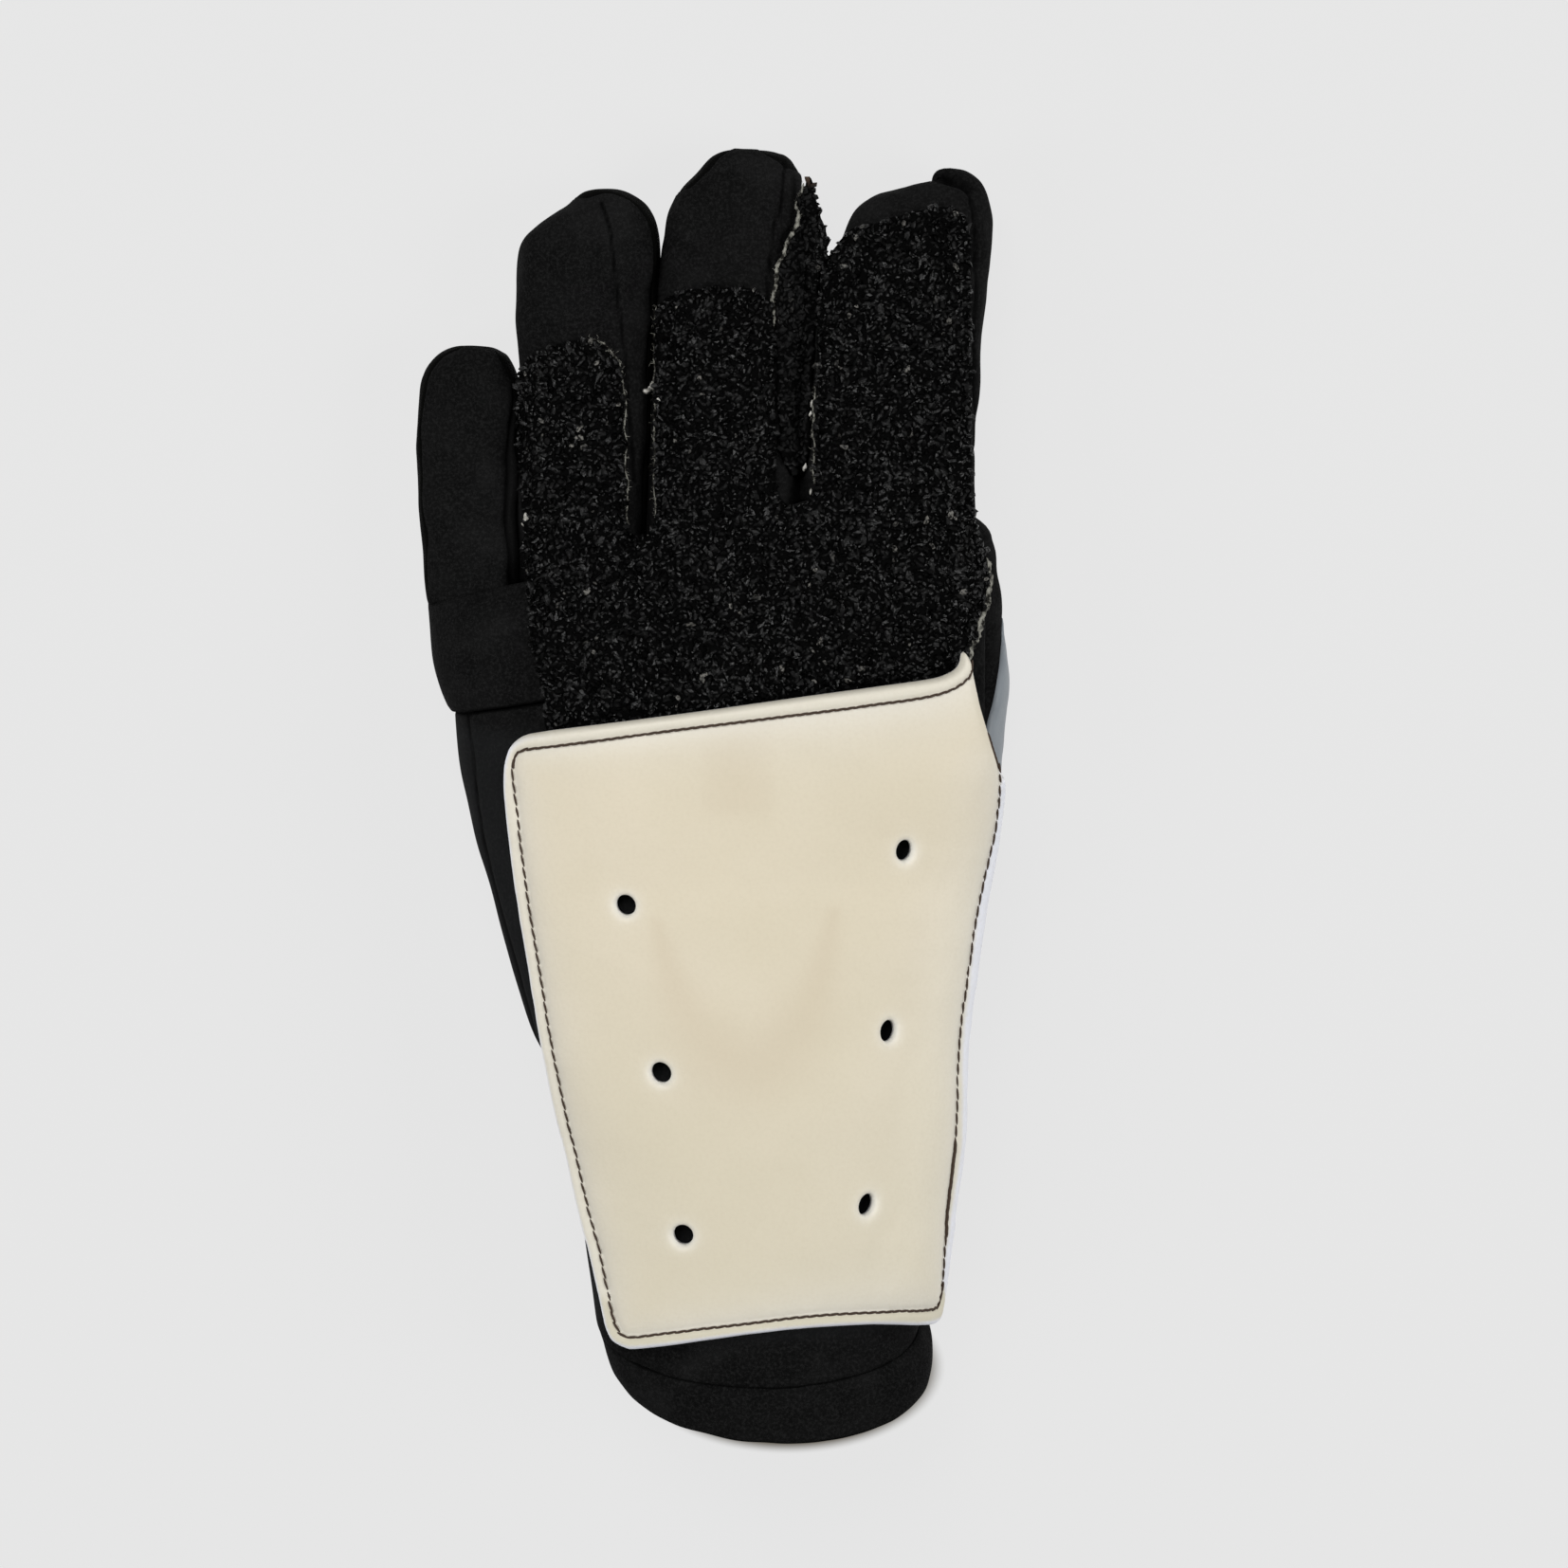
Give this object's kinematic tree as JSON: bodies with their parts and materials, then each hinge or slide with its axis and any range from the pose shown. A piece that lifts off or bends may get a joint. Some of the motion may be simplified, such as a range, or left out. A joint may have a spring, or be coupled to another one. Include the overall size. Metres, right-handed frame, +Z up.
{
  "type": "shooting glove",
  "caption": "Left-hand shooting glove lying palm down, with a rubber-crumb grip on the back and fingers and a stiff cream plate over the wrist.",
  "frame": {"origin": "middle of the glove's footprint on the surface that it lies on, palm down", "axes": "+Y towards the fingertips, +Z up out of the back of the hand, +X towards the thumb side"},
  "size_m": [0.1342, 0.2882, 0.0563],
  "materials": {
    "black_fabric": "fine knitted black fabric, matt with a faint fuzz",
    "black_grip": "black rubber granules bonded to a fibre backing, rough and glinting",
    "cream_plate": "smooth cream sheet with a soft sheen, stitched round its margin",
    "grey_panel": "smooth grey-blue synthetic leather, satin"
  },
  "bodies": {
    "root": {"finger_little": "black_fabric", "finger_ring": "black_fabric", "finger_middle": "black_fabric", "finger_index": "black_fabric", "thumb": "black_fabric", "hand": "black_fabric", "gauntlet": "black_fabric", "cuff_band": "black_fabric", "grip_panel": "black_grip", "side_grip": "black_grip", "wrist_plate": "cream_plate", "thumb_panel": "grey_panel"}
  },
  "joints": []
}
